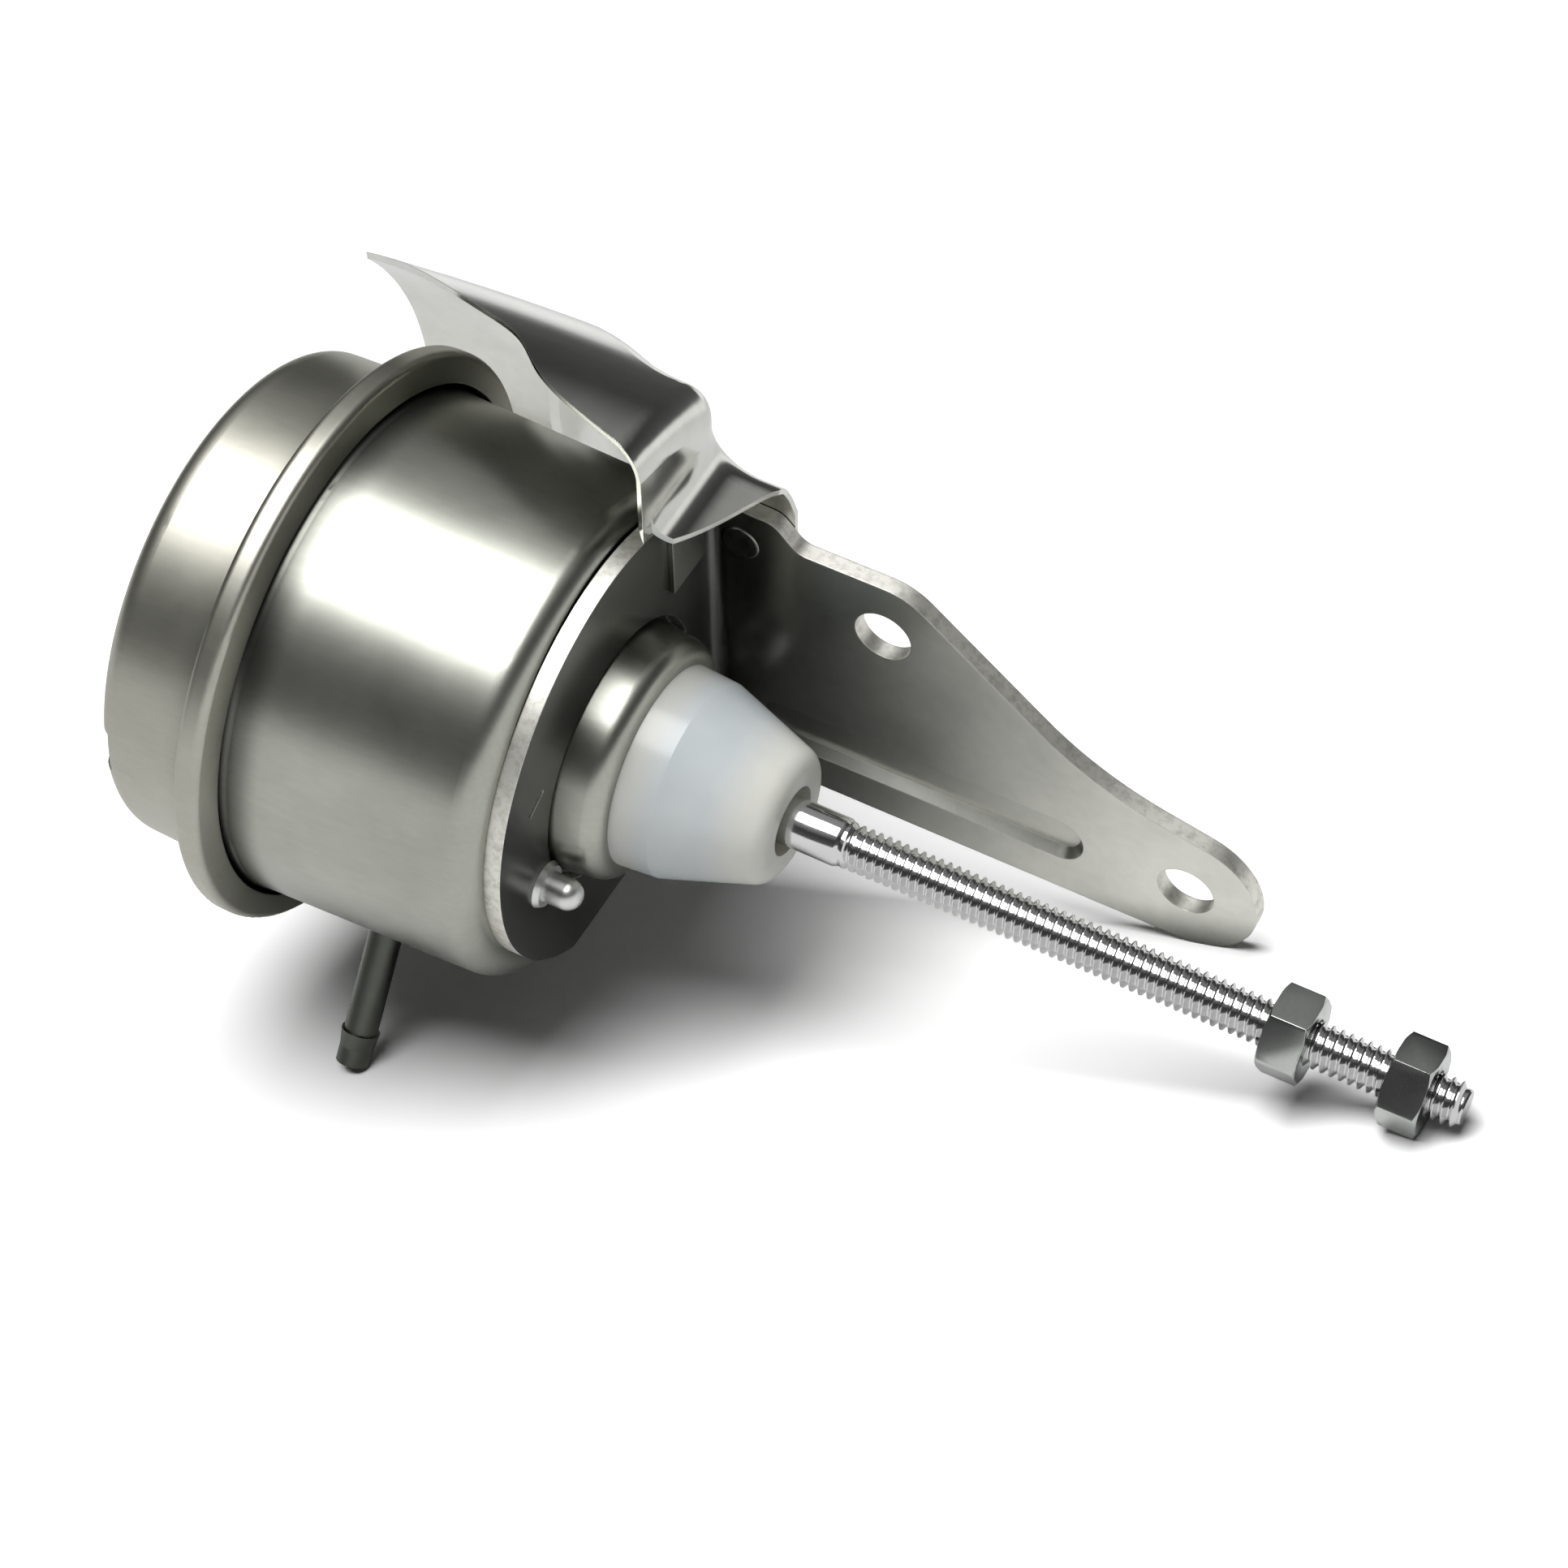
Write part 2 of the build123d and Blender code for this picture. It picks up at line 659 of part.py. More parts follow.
def make_shield_form(inset):
    """The solid that the sheet is pressed over, with every face moved inwards by inset."""
    front_x = shield_t - inset
    crown_r = shield_crown_r - inset
    roof_z = shield_roof_z - inset
    saddle_r = shield_saddle_r + inset
    with BuildPart() as form:
        # barrel round the can
        with BuildSketch(Plane.XY) as barrel_profile:
            with BuildLine():
                ThreePointArc(
                    (shield_rear_x, shield_rear_r - inset),
                    (shield_crown_x, crown_r),
                    (front_x, shield_front_r - inset),
                )
                Polyline(
                    (front_x, shield_front_r - inset),
                    (front_x, 0),
                    (shield_rear_x, 0),
                    (shield_rear_x, shield_rear_r - inset),
                )
            make_face()
        revolve(axis=Axis.X)
        # roof in front of it, over the bracket's fold
        with BuildSketch(Plane.XZ) as roof_profile:
            with BuildLine():
                Polyline(
                    (-shield_t, roof_z + saddle_r),
                    (-shield_t, form_low_z),
                    (form_front_x, form_low_z),
                    (form_front_x, roof_z),
                    (front_x + saddle_r, roof_z),
                )
                RadiusArc((front_x + saddle_r, roof_z), (front_x, roof_z + saddle_r), saddle_r)
                Line((front_x, roof_z + saddle_r), (-shield_t, roof_z + saddle_r))
            make_face()
        extrude(amount=-shield_crown_r)
        # upright far side, past the outside of the bracket's ear
        with BuildSketch(Plane.XY.offset(form_low_z)) as side_trim:
            with BuildLine():
                FilletPolyline(
                    (form_front_x, side_y - inset),
                    (shield_side_front_x, side_y - inset),
                    (shield_side_rear_x, crown_r),
                    radius=shield_side_bend_r - inset,
                )
                Polyline(
                    (shield_side_rear_x, crown_r),
                    (shield_rear_x, crown_r),
                    (shield_rear_x, 0),
                    (form_front_x, 0),
                    (form_front_x, side_y - inset),
                )
            make_face()
        extrude(amount=crown_r - form_low_z, mode=Mode.INTERSECT)
        # rounded ridge and side edges
        ridge = form.edges().filter_by(GeomType.CIRCLE)
        ridge = ridge.filter_by_position(Axis.X, -shield_t, 2 * shield_t).sort_by(Axis.Z)[-1]
        side_edges = form.edges().filter_by(lambda e: e.length > shield_t)
        side_edges = side_edges.filter_by_position(Axis.X, shield_side_rear_x, form_front_x - shield_t)
        side_edges = side_edges.filter_by_position(Axis.Y, side_y - shield_t, shield_crown_r)
        side_edges = side_edges.filter_by_position(Axis.Z, 0, shield_crown_r)
        side_edges = side_edges - side_edges.filter_by(Axis.Z).sort_by(Axis.X)[:-1]
        fillet([ridge, *side_edges], radius=shield_side_r - inset)
    return form.part


with BuildPart() as heat_shield:
    add(make_shield_form(0))
    add(make_shield_form(shield_t), mode=Mode.SUBTRACT)
    # near edges, cut in plan
    with BuildSketch(Plane.XY) as plan_outline:
        with BuildLine():
            Spline(
                (shield_rear_x, shield_tip_y),
                *shield_near_edge,
                (shield_t, shield_near_y),
            )
            Polyline(
                (shield_t, shield_near_y),
                (shield_t, shield_lip_near_y - shield_lip_near_x / 2),
                (shield_lip_near_x, shield_lip_near_y),
                (shield_lip_far_x, shield_lip_far_y),
                (shield_flange_x, side_y - shield_side_r / 2),
                (shield_flange_x, shield_crown_r),
                (shield_rear_x, shield_crown_r),
                (shield_rear_x, shield_tip_y),
            )
        make_face()
    extrude(amount=shield_crown_r, both=True, mode=Mode.INTERSECT)
    # lower and end edges, cut from the side
    with BuildSketch(Plane.XZ) as side_outline:
        with BuildLine():
            Polyline(
                (shield_lip_far_x, shield_crown_r),
                (shield_lip_far_x, (shield_flange_top_z + shield_roof_z) / 2),
                (shield_flange_x, shield_flange_top_z),
                (shield_flange_x, shield_flange_z),
                (shield_t, shield_flange_z),
                (shield_t - shield_side_r, shield_side_low_z),
                (shield_side_low_x, shield_side_low_z),
                (shield_side_rear_x, shield_low_z),
                (shield_rear_low_x, shield_low_z),
                (shield_rear_x, shield_tip_z),
                (shield_rear_x, shield_crown_r),
                (shield_lip_far_x, shield_crown_r),
            )
        make_face()
    extrude(amount=-shield_crown_r, mode=Mode.INTERSECT)
    # weld tab on the plate
    with BuildSketch(Plane.YZ) as weld_tab:
        with Locations((shield_tab_y, (shield_tab_z + wall_foot_z + shield_t) / 2)):
            Rectangle(shield_tab_width, wall_foot_z + shield_t - shield_tab_z)
    extrude(amount=shield_t)
heat_shield.part.label = "heat_shield"
export_step(heat_shield.part, "parts/heat_shield.step")
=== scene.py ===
import math

import bmesh
import bpy
from mathutils import Matrix, Vector


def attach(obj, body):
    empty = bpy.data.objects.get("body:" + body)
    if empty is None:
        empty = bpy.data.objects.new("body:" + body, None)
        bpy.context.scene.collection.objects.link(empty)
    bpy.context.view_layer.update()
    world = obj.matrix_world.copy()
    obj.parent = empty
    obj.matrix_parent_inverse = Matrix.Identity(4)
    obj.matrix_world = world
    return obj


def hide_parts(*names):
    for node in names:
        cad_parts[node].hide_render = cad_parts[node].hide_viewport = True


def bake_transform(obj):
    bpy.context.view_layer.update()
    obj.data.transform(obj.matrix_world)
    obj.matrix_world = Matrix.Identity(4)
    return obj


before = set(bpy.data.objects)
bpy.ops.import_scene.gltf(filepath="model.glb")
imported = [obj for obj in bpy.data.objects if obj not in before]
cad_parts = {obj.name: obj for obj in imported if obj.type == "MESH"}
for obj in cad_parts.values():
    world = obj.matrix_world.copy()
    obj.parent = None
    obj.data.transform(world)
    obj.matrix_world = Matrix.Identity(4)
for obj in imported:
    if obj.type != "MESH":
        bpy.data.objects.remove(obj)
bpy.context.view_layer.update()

MM = 0.001
MICRON = 1e-6
MERGE_DISTANCE = 1e-7
WHITE = (1.0, 1.0, 1.0)

scene = bpy.context.scene


# shader helpers

def empty_tree(owner):
    """Turns the nodes of a material or world on, and removes the ones it comes with."""
    owner.use_nodes = True
    owner.node_tree.nodes.clear()
    return owner.node_tree


def new_material(name):
    """A node material and its principled shader."""
    mat = bpy.data.materials.new(name)
    tree = empty_tree(mat)
    out = tree.nodes.new("ShaderNodeOutputMaterial")
    bsdf = tree.nodes.new("ShaderNodeBsdfPrincipled")
    tree.links.new(bsdf.outputs["BSDF"], out.inputs["Surface"])
    return mat, tree, bsdf


def feed(tree, socket, value):
    """Sets a socket to a number or colour, or links another node's output to it."""
    if isinstance(value, (int, float)):
        socket.default_value = value
    elif isinstance(value, tuple):
        socket.default_value = (*value, 1.0)
    else:
        tree.links.new(value, socket)


def math_node(tree, op, *values):
    node = tree.nodes.new("ShaderNodeMath")
    node.operation = op
    for socket, value in zip(node.inputs, values):
        feed(tree, socket, value)
    return node.outputs[0]


def inverse(tree, value):
    return math_node(tree, "SUBTRACT", 1.0, value)


def coords(tree, scale=(1, 1, 1)):
    """Object coordinates, scaled along each axis."""
    tex = tree.nodes.new("ShaderNodeTexCoord")
    mapping = tree.nodes.new("ShaderNodeMapping")
    mapping.inputs["Scale"].default_value = scale
    tree.links.new(tex.outputs["Object"], mapping.inputs["Vector"])
    return mapping.outputs["Vector"]


def axis_part(tree, axis, source="Object"):
    """One component of the object position or of the surface normal."""
    tex = tree.nodes.new("ShaderNodeTexCoord")
    sep = tree.nodes.new("ShaderNodeSeparateXYZ")
    tree.links.new(tex.outputs[source], sep.inputs["Vector"])
    return sep.outputs[axis]


def noise(tree, vector, scale, detail=3.0, rough=0.5):
    node = tree.nodes.new("ShaderNodeTexNoise")
    node.inputs["Scale"].default_value = scale
    node.inputs["Detail"].default_value = detail
    node.inputs["Roughness"].default_value = rough
    tree.links.new(vector, node.inputs["Vector"])
    return node.outputs["Fac"]


def ramp(tree, fac, *stops):
    """A colour ramp from (position, colour or grey) stops."""
    node = tree.nodes.new("ShaderNodeValToRGB")
    elements = node.color_ramp.elements
    while len(elements) < len(stops):
        elements.new(0.5)
    for element, (position, colour) in zip(elements, stops):
        if isinstance(colour, (int, float)):
            colour = (colour, colour, colour)
        element.position = position
        element.color = (*colour, 1.0)
    tree.links.new(fac, node.inputs["Fac"])
    return node.outputs["Color"]


def between(tree, value, low, high):
    """0 below low, 1 above high, smooth between them."""
    node = tree.nodes.new("ShaderNodeMapRange")
    node.interpolation_type = "SMOOTHSTEP"
    node.inputs["From Min"].default_value = low
    node.inputs["From Max"].default_value = high
    tree.links.new(value, node.inputs["Value"])
    return node.outputs["Result"]


def mix(tree, fac, a, b, blend="MIX"):
    """Mixes two colours; the Mix node keeps its colours in sockets 6 and 7, and the result in 2."""
    node = tree.nodes.new("ShaderNodeMix")
    node.data_type = "RGBA"
    node.blend_type = blend
    for index, value in ((0, fac), (6, a), (7, b)):
        feed(tree, node.inputs[index], value)
    return node.outputs[2]


def multiply(tree, a, b):
    return mix(tree, 1.0, a, b, "MULTIPLY")


def bump(tree, bsdf, height, strength, distance):
    node = tree.nodes.new("ShaderNodeBump")
    node.inputs["Strength"].default_value = strength
    node.inputs["Distance"].default_value = distance
    tree.links.new(height, node.inputs["Height"])
    tree.links.new(node.outputs["Normal"], bsdf.inputs["Normal"])
    return node


def painted_crevice_shade(tree, reach_mm):
    """Painted shade: white in the open and dark in corners and recesses, where shade falls."""
    near = tree.nodes.new("ShaderNodeAmbientOcclusion")
    near.samples = 8
    near.inputs["Distance"].default_value = reach_mm * MM
    return ramp(tree, near.outputs["AO"], (0.35, 0.06), (0.85, 1.0))


def plated_steel(name, tint, rough=(0.30, 0.42), grain=(900, 900, 900), bump_um=4.0, mottle=0.06,
                 edge_mm=0.0, painted_shade_mm=0.0, shade_edit=None):
    """Bright plated sheet steel: faint mottling, directional grain, uneven gloss.

    edge_mm rounds the look of sharp edges, painted_shade_mm is how far the painted shade in corners
    reaches, and shade_edit(tree, shade) changes that painted shade over the piece.
    """
    mat, tree, bsdf = new_material(name)
    cloud = noise(tree, coords(tree), 55.0, 4.0, 0.6)
    fine = noise(tree, coords(tree, grain), 1.0, 3.0, 0.6)
    low = tuple(c * (1 - mottle * 2.0) for c in tint)
    high = tuple(min(1.0, c * (1 + mottle)) for c in tint)
    base = ramp(tree, cloud, (0.3, low), (0.7, high))
    base = mix(tree, 0.25, base, ramp(tree, fine, (0.3, 0.75), (0.7, 1.0)), "MULTIPLY")
    # painted shade: the base colour is darkened in corners and recesses
    if painted_shade_mm:
        shade = painted_crevice_shade(tree, painted_shade_mm)
        if shade_edit:
            shade = shade_edit(tree, shade)
        base = multiply(tree, base, shade)
    tree.links.new(base, bsdf.inputs["Base Color"])
    bsdf.inputs["Metallic"].default_value = 1.0
    gloss = math_node(tree, "MULTIPLY_ADD", cloud, rough[1] - rough[0], rough[0])
    tree.links.new(gloss, bsdf.inputs["Roughness"])
    relief = bump(tree, bsdf, fine, 0.5, bump_um * MICRON)
    if edge_mm:
        bevel = tree.nodes.new("ShaderNodeBevel")
        bevel.samples = 4
        bevel.inputs["Radius"].default_value = edge_mm * MM
        tree.links.new(bevel.outputs["Normal"], relief.inputs["Normal"])
    return mat, tree, bsdf, base


def sheared_edge(tree, bsdf, base, added_rough, mask):
    """Rough bright metal where a sheet was cut through, by a mask."""
    streak = noise(tree, coords(tree, (700, 700, 700)), 1.0, 4.0, 0.7)
    cut = ramp(tree, streak, (0.30, (0.60, 0.59, 0.53)), (0.55, (0.86, 0.85, 0.79)))
    tree.links.new(mix(tree, mask, base, cut), bsdf.inputs["Base Color"])
    gloss = bsdf.inputs["Roughness"].links[0].from_socket
    dull = math_node(tree, "MULTIPLY_ADD", mask, added_rough, gloss)
    tree.links.new(dull, bsdf.inputs["Roughness"])


# materials

def front_shell_painted_shade(tree, shade):
    """Painted shade: dark all round in the recess by the rim, and the painted corner shade half lifted on
    the drawn neck.
    """
    by_rim = between(tree, axis_part(tree, 0), -37.5 * MM, -33.5 * MM)
    on_neck = between(tree, axis_part(tree, 0), -4.0 * MM, -1.5 * MM)
    neck_lifted_shade = mix(tree, math_node(tree, "MULTIPLY", on_neck, 0.55), shade, WHITE)
    return multiply(tree, neck_lifted_shade, ramp(tree, by_rim, (0.0, 0.45), (1.0, 1.0)))


def bracket_painted_shade(tree, base):
    """Painted shade: the bracket is darker by the can, and on the plate's side away from the ear, for the
    shaded floor its face mirrors.
    """
    from_can = between(tree, axis_part(tree, 0), -1.0 * MM, 34.0 * MM)
    to_ear = between(tree, axis_part(tree, 1), -26.0 * MM, -4.0 * MM)
    base = multiply(tree, base, ramp(tree, from_can, (0.0, 0.30), (0.45, 0.66), (1.0, 1.0)))
    return multiply(tree, base, ramp(tree, to_ear, (0.0, 0.45), (1.0, 1.0)))


def bracket_cut_mask(tree):
    """1 on the bracket's sheared edges: which way they face differs on plate, fold and ear."""
    face_x, face_y, face_z = (
        math_node(tree, "ABSOLUTE", axis_part(tree, axis, "Normal")) for axis in range(3)
    )
    on_ear = between(tree, axis_part(tree, 0), 1.8 * MM, 2.4 * MM)
    off_plate = between(tree, axis_part(tree, 1), 23.2 * MM, 23.8 * MM)
    on_fold = math_node(tree, "MULTIPLY", off_plate, inverse(tree, on_ear))
    fold_cut = math_node(tree, "MULTIPLY", between(tree, face_z, 0.60, 0.90), on_fold)
    plate_cut = inverse(tree, between(tree, face_x, 0.25, 0.55))
    plate_cut = math_node(tree, "MULTIPLY", plate_cut, inverse(tree, off_plate))
    ear_cut = inverse(tree, between(tree, face_y, 0.20, 0.50))
    ear_cut = math_node(tree, "MULTIPLY", ear_cut, on_ear)
    return math_node(tree, "MAXIMUM", math_node(tree, "MAXIMUM", fold_cut, plate_cut), ear_cut)


CAN_GRAIN = (250, 1400, 1400)

# the shells and the bracket are darkened in their corners and recesses by painted shade, reaching 9 mm
rear_mat = plated_steel(
    "rear_shell_plate", (0.49, 0.485, 0.425), (0.34, 0.42), CAN_GRAIN, edge_mm=0.3, painted_shade_mm=9.0
)[0]
front_mat = plated_steel(
    "front_shell_plate", (0.45, 0.46, 0.41), (0.28, 0.345), CAN_GRAIN, edge_mm=0.3, painted_shade_mm=9.0,
    shade_edit=front_shell_painted_shade
)[0]
hidden_mat = plated_steel("inner_plate", (0.55, 0.55, 0.53), (0.35, 0.45))[0]
# painted shade: the hose nipple is coloured almost black, for the shadow it lies in and the shaded floor
# it mirrors
nipple_mat = plated_steel(
    "nipple_plate_painted_shade", (0.11, 0.115, 0.10), (0.26, 0.34), (900, 900, 300), edge_mm=0.15
)[0]
rod_mat = plated_steel(
    "rod_plate", (0.70, 0.70, 0.70), (0.08, 0.13), (120, 2600, 2600), bump_um=1.0, mottle=0.02
)[0]
nut_mat = plated_steel("nut_plate", (0.56, 0.58, 0.56), (0.16, 0.24), (1500, 900, 900))[0]
rivet_mat = plated_steel("rivet_plate", (0.78, 0.79, 0.76), (0.32, 0.40), (700, 700, 700))[0]
spring_mat = plated_steel("spring_wire", (0.22, 0.22, 0.23), (0.30, 0.40))[0]
shield_mat = plated_steel(
    "shield_plate", (0.74, 0.74, 0.70), (0.13, 0.20), (400, 400, 400), bump_um=2.0, edge_mm=0.15
)[0]

# the bracket's base colour carries painted shade, darker near the can and away from the ear
bracket_mat, tree, bsdf, base = plated_steel(
    "bracket_plate", (0.76, 0.76, 0.70), (0.20, 0.28), (500, 500, 500), edge_mm=0.25, painted_shade_mm=9.0
)
sheared_edge(tree, bsdf, bracket_painted_shade(tree, base), 0.22, bracket_cut_mask(tree))

rubber_mat, tree, bsdf = new_material("rubber")
grit = noise(tree, coords(tree), 700.0)
tree.links.new(ramp(tree, grit, (0.3, 0.018), (0.7, 0.035)), bsdf.inputs["Base Color"])
bsdf.inputs["Roughness"].default_value = 0.6
bump(tree, bsdf, grit, 0.4, 20 * MICRON)

# the guide cone: natural nylon, with painted shade making it darker and bluish where only its thin wall
# stands before the dark hollow
nylon_mat, tree, bsdf = new_material("natural_nylon")
cloud = noise(tree, coords(tree), 90.0)
fine = noise(tree, coords(tree, (300, 1200, 1200)), 1.0)
solid_nylon = ramp(tree, cloud, (0.3, (0.74, 0.74, 0.68)), (0.7, (0.84, 0.84, 0.79)))
nylon_hollow_shade = ramp(tree, cloud, (0.3, (0.62, 0.67, 0.69)), (0.7, (0.70, 0.74, 0.75)))
past_band = between(tree, axis_part(tree, 0), 7.0 * MM, 12.5 * MM)
before_nose = inverse(tree, between(tree, axis_part(tree, 0), 17.5 * MM, 24.5 * MM))
thin_wall = math_node(tree, "MULTIPLY", past_band, before_nose)
tree.links.new(mix(tree, thin_wall, solid_nylon, nylon_hollow_shade), bsdf.inputs["Base Color"])
bsdf.inputs["Roughness"].default_value = 0.24
bsdf.inputs["Subsurface Weight"].default_value = 0.35
bsdf.inputs["Subsurface Radius"].default_value = (1.0, 0.95, 0.8)
bsdf.inputs["Subsurface Scale"].default_value = 4 * MM
bump(tree, bsdf, fine, 0.4, 12 * MICRON)


def dress(node, mat):
    """Gives a carried-over CAD node its material."""
    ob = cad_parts[node]
    if not ob.material_slots:
        ob.data.materials.append(mat)
    for slot in ob.material_slots:
        slot.material = mat


for node, mat in {
    "rear_shell": rear_mat,
    "front_shell": front_mat,
    "diaphragm": rubber_mat,
    "piston_cup": hidden_mat,
    "retainer_plate": hidden_mat,
    "rear_washer": hidden_mat,
    "front_washer": hidden_mat,
    "return_spring": spring_mat,
    "spring_seat": hidden_mat,
    "actuator_rod": rod_mat,
    "rod_seal": rubber_mat,
    "cone_retainer": hidden_mat,
    "guide_cone": nylon_mat,
    "mounting_bracket": bracket_mat,
    "bracket_rivet_1": rivet_mat,
    "bracket_rivet_2": rivet_mat,
    "heat_shield": shield_mat,
    "hose_nipple": nipple_mat,
    "adjuster_nut": nut_mat,
    "lock_nut": nut_mat,
}.items():
    dress(node, mat)


# mesh helpers

def ring(bm, segs, place):
    """A closed row of points, where place(j) gives the x and radius of point j in millimetres."""
    row = []
    for j in range(segs):
        x, r = place(j)
        a = 2 * math.pi * j / segs
        row.append(bm.verts.new((x * MM, r * MM * math.cos(a), r * MM * math.sin(a))))
    return row


def join_rows(bm, a, b):
    """Faces between two rows of points; a row of one repeated point makes triangles."""
    for j in range(len(a)):
        k = (j + 1) % len(a)
        corners = []
        for v in (a[j], a[k], b[k], b[j]):
            if v not in corners:
                corners.append(v)
        if len(corners) > 2:
            bm.faces.new(corners)


def revolve(bm, profile, segs):
    """A surface of revolution about X from (x, radius) pairs in millimetres; gives its last row."""
    last = None
    for x, r in profile:
        if r > 0:
            row = ring(bm, segs, lambda j: (x, r))
        else:
            row = [bm.verts.new((x * MM, 0, 0))] * segs
        if last:
            join_rows(bm, last, row)
        last = row
    return last


def new_object(name, bm, mat, sharp_degrees=None):
    """Ends a bmesh and makes it a smooth-shaded object with one material."""
    me = bpy.data.meshes.new(name)
    bm.to_mesh(me)
    bm.free()
    for p in me.polygons:
        p.use_smooth = True
    if sharp_degrees:
        me.set_sharp_from_angle(angle=math.radians(sharp_degrees))
    me.materials.clear()
    me.materials.append(mat)
    ob = bpy.data.objects.new(name, me)
    scene.collection.objects.link(ob)
    return ob


# rod with its rolled thread

THREAD_R = 3.175
THREAD_GAP = 0.02
THREAD_DEPTH = 0.78
PITCH = 1.27
SHANK_R = 3.4
SHANK_END = 33.9
THREAD_START = SHANK_END + 0.35
THREAD_END = 122.05
ROD_END = 122.3
RUN_IN = 1.6
RUN_OUT = 0.9
TIP_CHAMFER = 0.75
TIP_FACE_R = 2.3
ROD_SEGMENTS = 64

# one pitch of the thread form: how far along it, and the share of its full height
THREAD_FORM = ((0.0, 1.0), (0.10, 1.0), (0.42, 0.10), (0.50, 0.0), (0.60, 0.0), (0.68, 0.10))

ROD_PROFILE = [(-57, 0), (-57, 4.1), (-56.5, 4.6), (-56, 4.6), (-56, 3.0), (-51.1, 3.0), (-51.1, SHANK_R)]
ROD_PROFILE += [(x, SHANK_R) for x in (-50, -20, 0, 20, 30)]
ROD_PROFILE += [(SHANK_END - 0.25, SHANK_R), (SHANK_END, SHANK_R - 0.1), (THREAD_START, THREAD_R - 0.05)]


def thread_point(start, height, j):
    """A point on a helical row of the thread, which fades in at the shank and out at the tip."""
    x = THREAD_START + (start + j / ROD_SEGMENTS) * PITCH
    x = min(max(x, THREAD_START), THREAD_END)
    run_in = min(1.0, max(0.0, (x - THREAD_START) / RUN_IN))
    run_out = min(1.0, max(0.0, (THREAD_END - x) / RUN_OUT))
    r = THREAD_R - THREAD_GAP - THREAD_DEPTH * (1 - height) * run_in
    return x, min(r, THREAD_R - TIP_CHAMFER + TIP_CHAMFER * run_out)


def build_rod():
    bm = bmesh.new()
    last = revolve(bm, ROD_PROFILE, ROD_SEGMENTS)
    turns = int((THREAD_END - THREAD_START) / PITCH) + 2
    for turn in range(-1, turns + 1):
        for along, height in THREAD_FORM:
            row = ring(bm, ROD_SEGMENTS, lambda j: thread_point(turn + along, height, j))
            join_rows(bm, last, row)
            last = row
    face = ring(bm, ROD_SEGMENTS, lambda j: (ROD_END, TIP_FACE_R))
    join_rows(bm, last, face)
    join_rows(bm, face, [bm.verts.new((ROD_END * MM, 0, 0))] * ROD_SEGMENTS)
    bmesh.ops.remove_doubles(bm, verts=bm.verts, dist=MERGE_DISTANCE)
    bmesh.ops.recalc_face_normals(bm, faces=bm.faces)
    ob = new_object("threaded_rod", bm, rod_mat, sharp_degrees=40)
    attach(ob, "rod")
    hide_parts("actuator_rod")


build_rod()


# nuts with softened edges

def build_nut(node, body):
    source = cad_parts[node]
    bm = bmesh.new()
    bm.from_mesh(source.data)
    bmesh.ops.remove_doubles(bm, verts=bm.verts, dist=MERGE_DISTANCE)
    bmesh.ops.dissolve_limit(bm, angle_limit=math.radians(1.0), verts=bm.verts, edges=bm.edges)
    sharp = [e for e in bm.edges if e.is_manifold and e.calc_face_angle(0.0) > math.radians(18)]
    bmesh.ops.bevel(
        bm, geom=sharp, offset=0.14 * MM, segments=2, profile=0.5, affect="EDGES", clamp_overlap=True
    )
    ob = new_object("bevelled_" + node, bm, nut_mat, sharp_degrees=32)
    ob.matrix_world = source.matrix_world.copy()
    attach(ob, body)
    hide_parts(node)


build_nut("adjuster_nut", "adjuster")
build_nut("lock_nut", "locker")


# return spring, a copy of the CAD spring's mesh

def build_spring():
    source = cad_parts["return_spring"]
    me = source.data.copy()
    me.name = "coiled_spring"
    ob = bpy.data.objects.new("coiled_spring", me)
    scene.collection.objects.link(ob)
    ob.matrix_world = source.matrix_world.copy()
    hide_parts("return_spring")
    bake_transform(ob)


build_spring()


# spot weld between the ear and the shield's flange: a shallow ringed crater on the ear's face

WELD_CENTRE = Vector((4.4, 25.8, 17.9)) * MM
WELD_PROFILE = ((-0.05, 2.9), (0.05, 2.9), (0.16, 2.6), (0.17, 2.4), (0.10, 2.1), (0.05, 1.2), (0.04, 0))


def build_weld():
    bm = bmesh.new()
    revolve(bm, WELD_PROFILE, 48)
    bmesh.ops.remove_doubles(bm, verts=bm.verts, dist=MERGE_DISTANCE)
    bmesh.ops.rotate(bm, verts=bm.verts, matrix=Matrix.Rotation(math.radians(-90), 3, "Z"))
    bmesh.ops.translate(bm, verts=bm.verts, vec=WELD_CENTRE)
    bmesh.ops.recalc_face_normals(bm, faces=bm.faces)
    ob = new_object("spot_weld", bm, bracket_mat)
    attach(ob, "housing")


build_weld()


# studio shaders, which tell what a ray is for

def choose(tree, fac, a, b):
    """A mix of shader a, at 0, and shader b, at 1."""
    node = tree.nodes.new("ShaderNodeMixShader")
    for socket, value in zip(node.inputs, (fac, a, b)):
        tree.links.new(value, socket)
    return node.outputs[0]


def matt(tree, grey):
    node = tree.nodes.new("ShaderNodeBsdfDiffuse")
    feed(tree, node.inputs["Color"], (grey, grey, grey))
    return node.outputs[0]


def glow(tree, colour, strength, kind="ShaderNodeBackground"):
    node = tree.nodes.new(kind)
    node.inputs["Strength"].default_value = strength
    feed(tree, node.inputs["Color"], colour)
    return node.outputs[0]


def mirror_ray(tree, path):
    return math_node(tree, "MAXIMUM", path.outputs["Is Glossy Ray"], path.outputs["Is Transmission Ray"])


# floor: the plane through the three points that the part lies on

FLOOR_NORMAL = Vector((-0.332, 0.2073, 0.9202)).normalized()
FLOOR_POINT = Vector((-24.34, -32.1, -49.79)) * MM
FLOOR_HALF_SIZE = 3.0

# the floor's greys, as the camera, mirror-like metal, matt surfaces and other rays see it
GREY_IN_CAMERA = 1.50
GREY_IN_MIRRORS = 0.92
GREY_FOR_DIFFUSE = 0.75
GREY_FOR_OTHERS = 0.20

# out of the lamp's reach, the floor turns plain white between these distances, in metres
WHITE_FROM, WHITE_TO = 0.30, 0.60


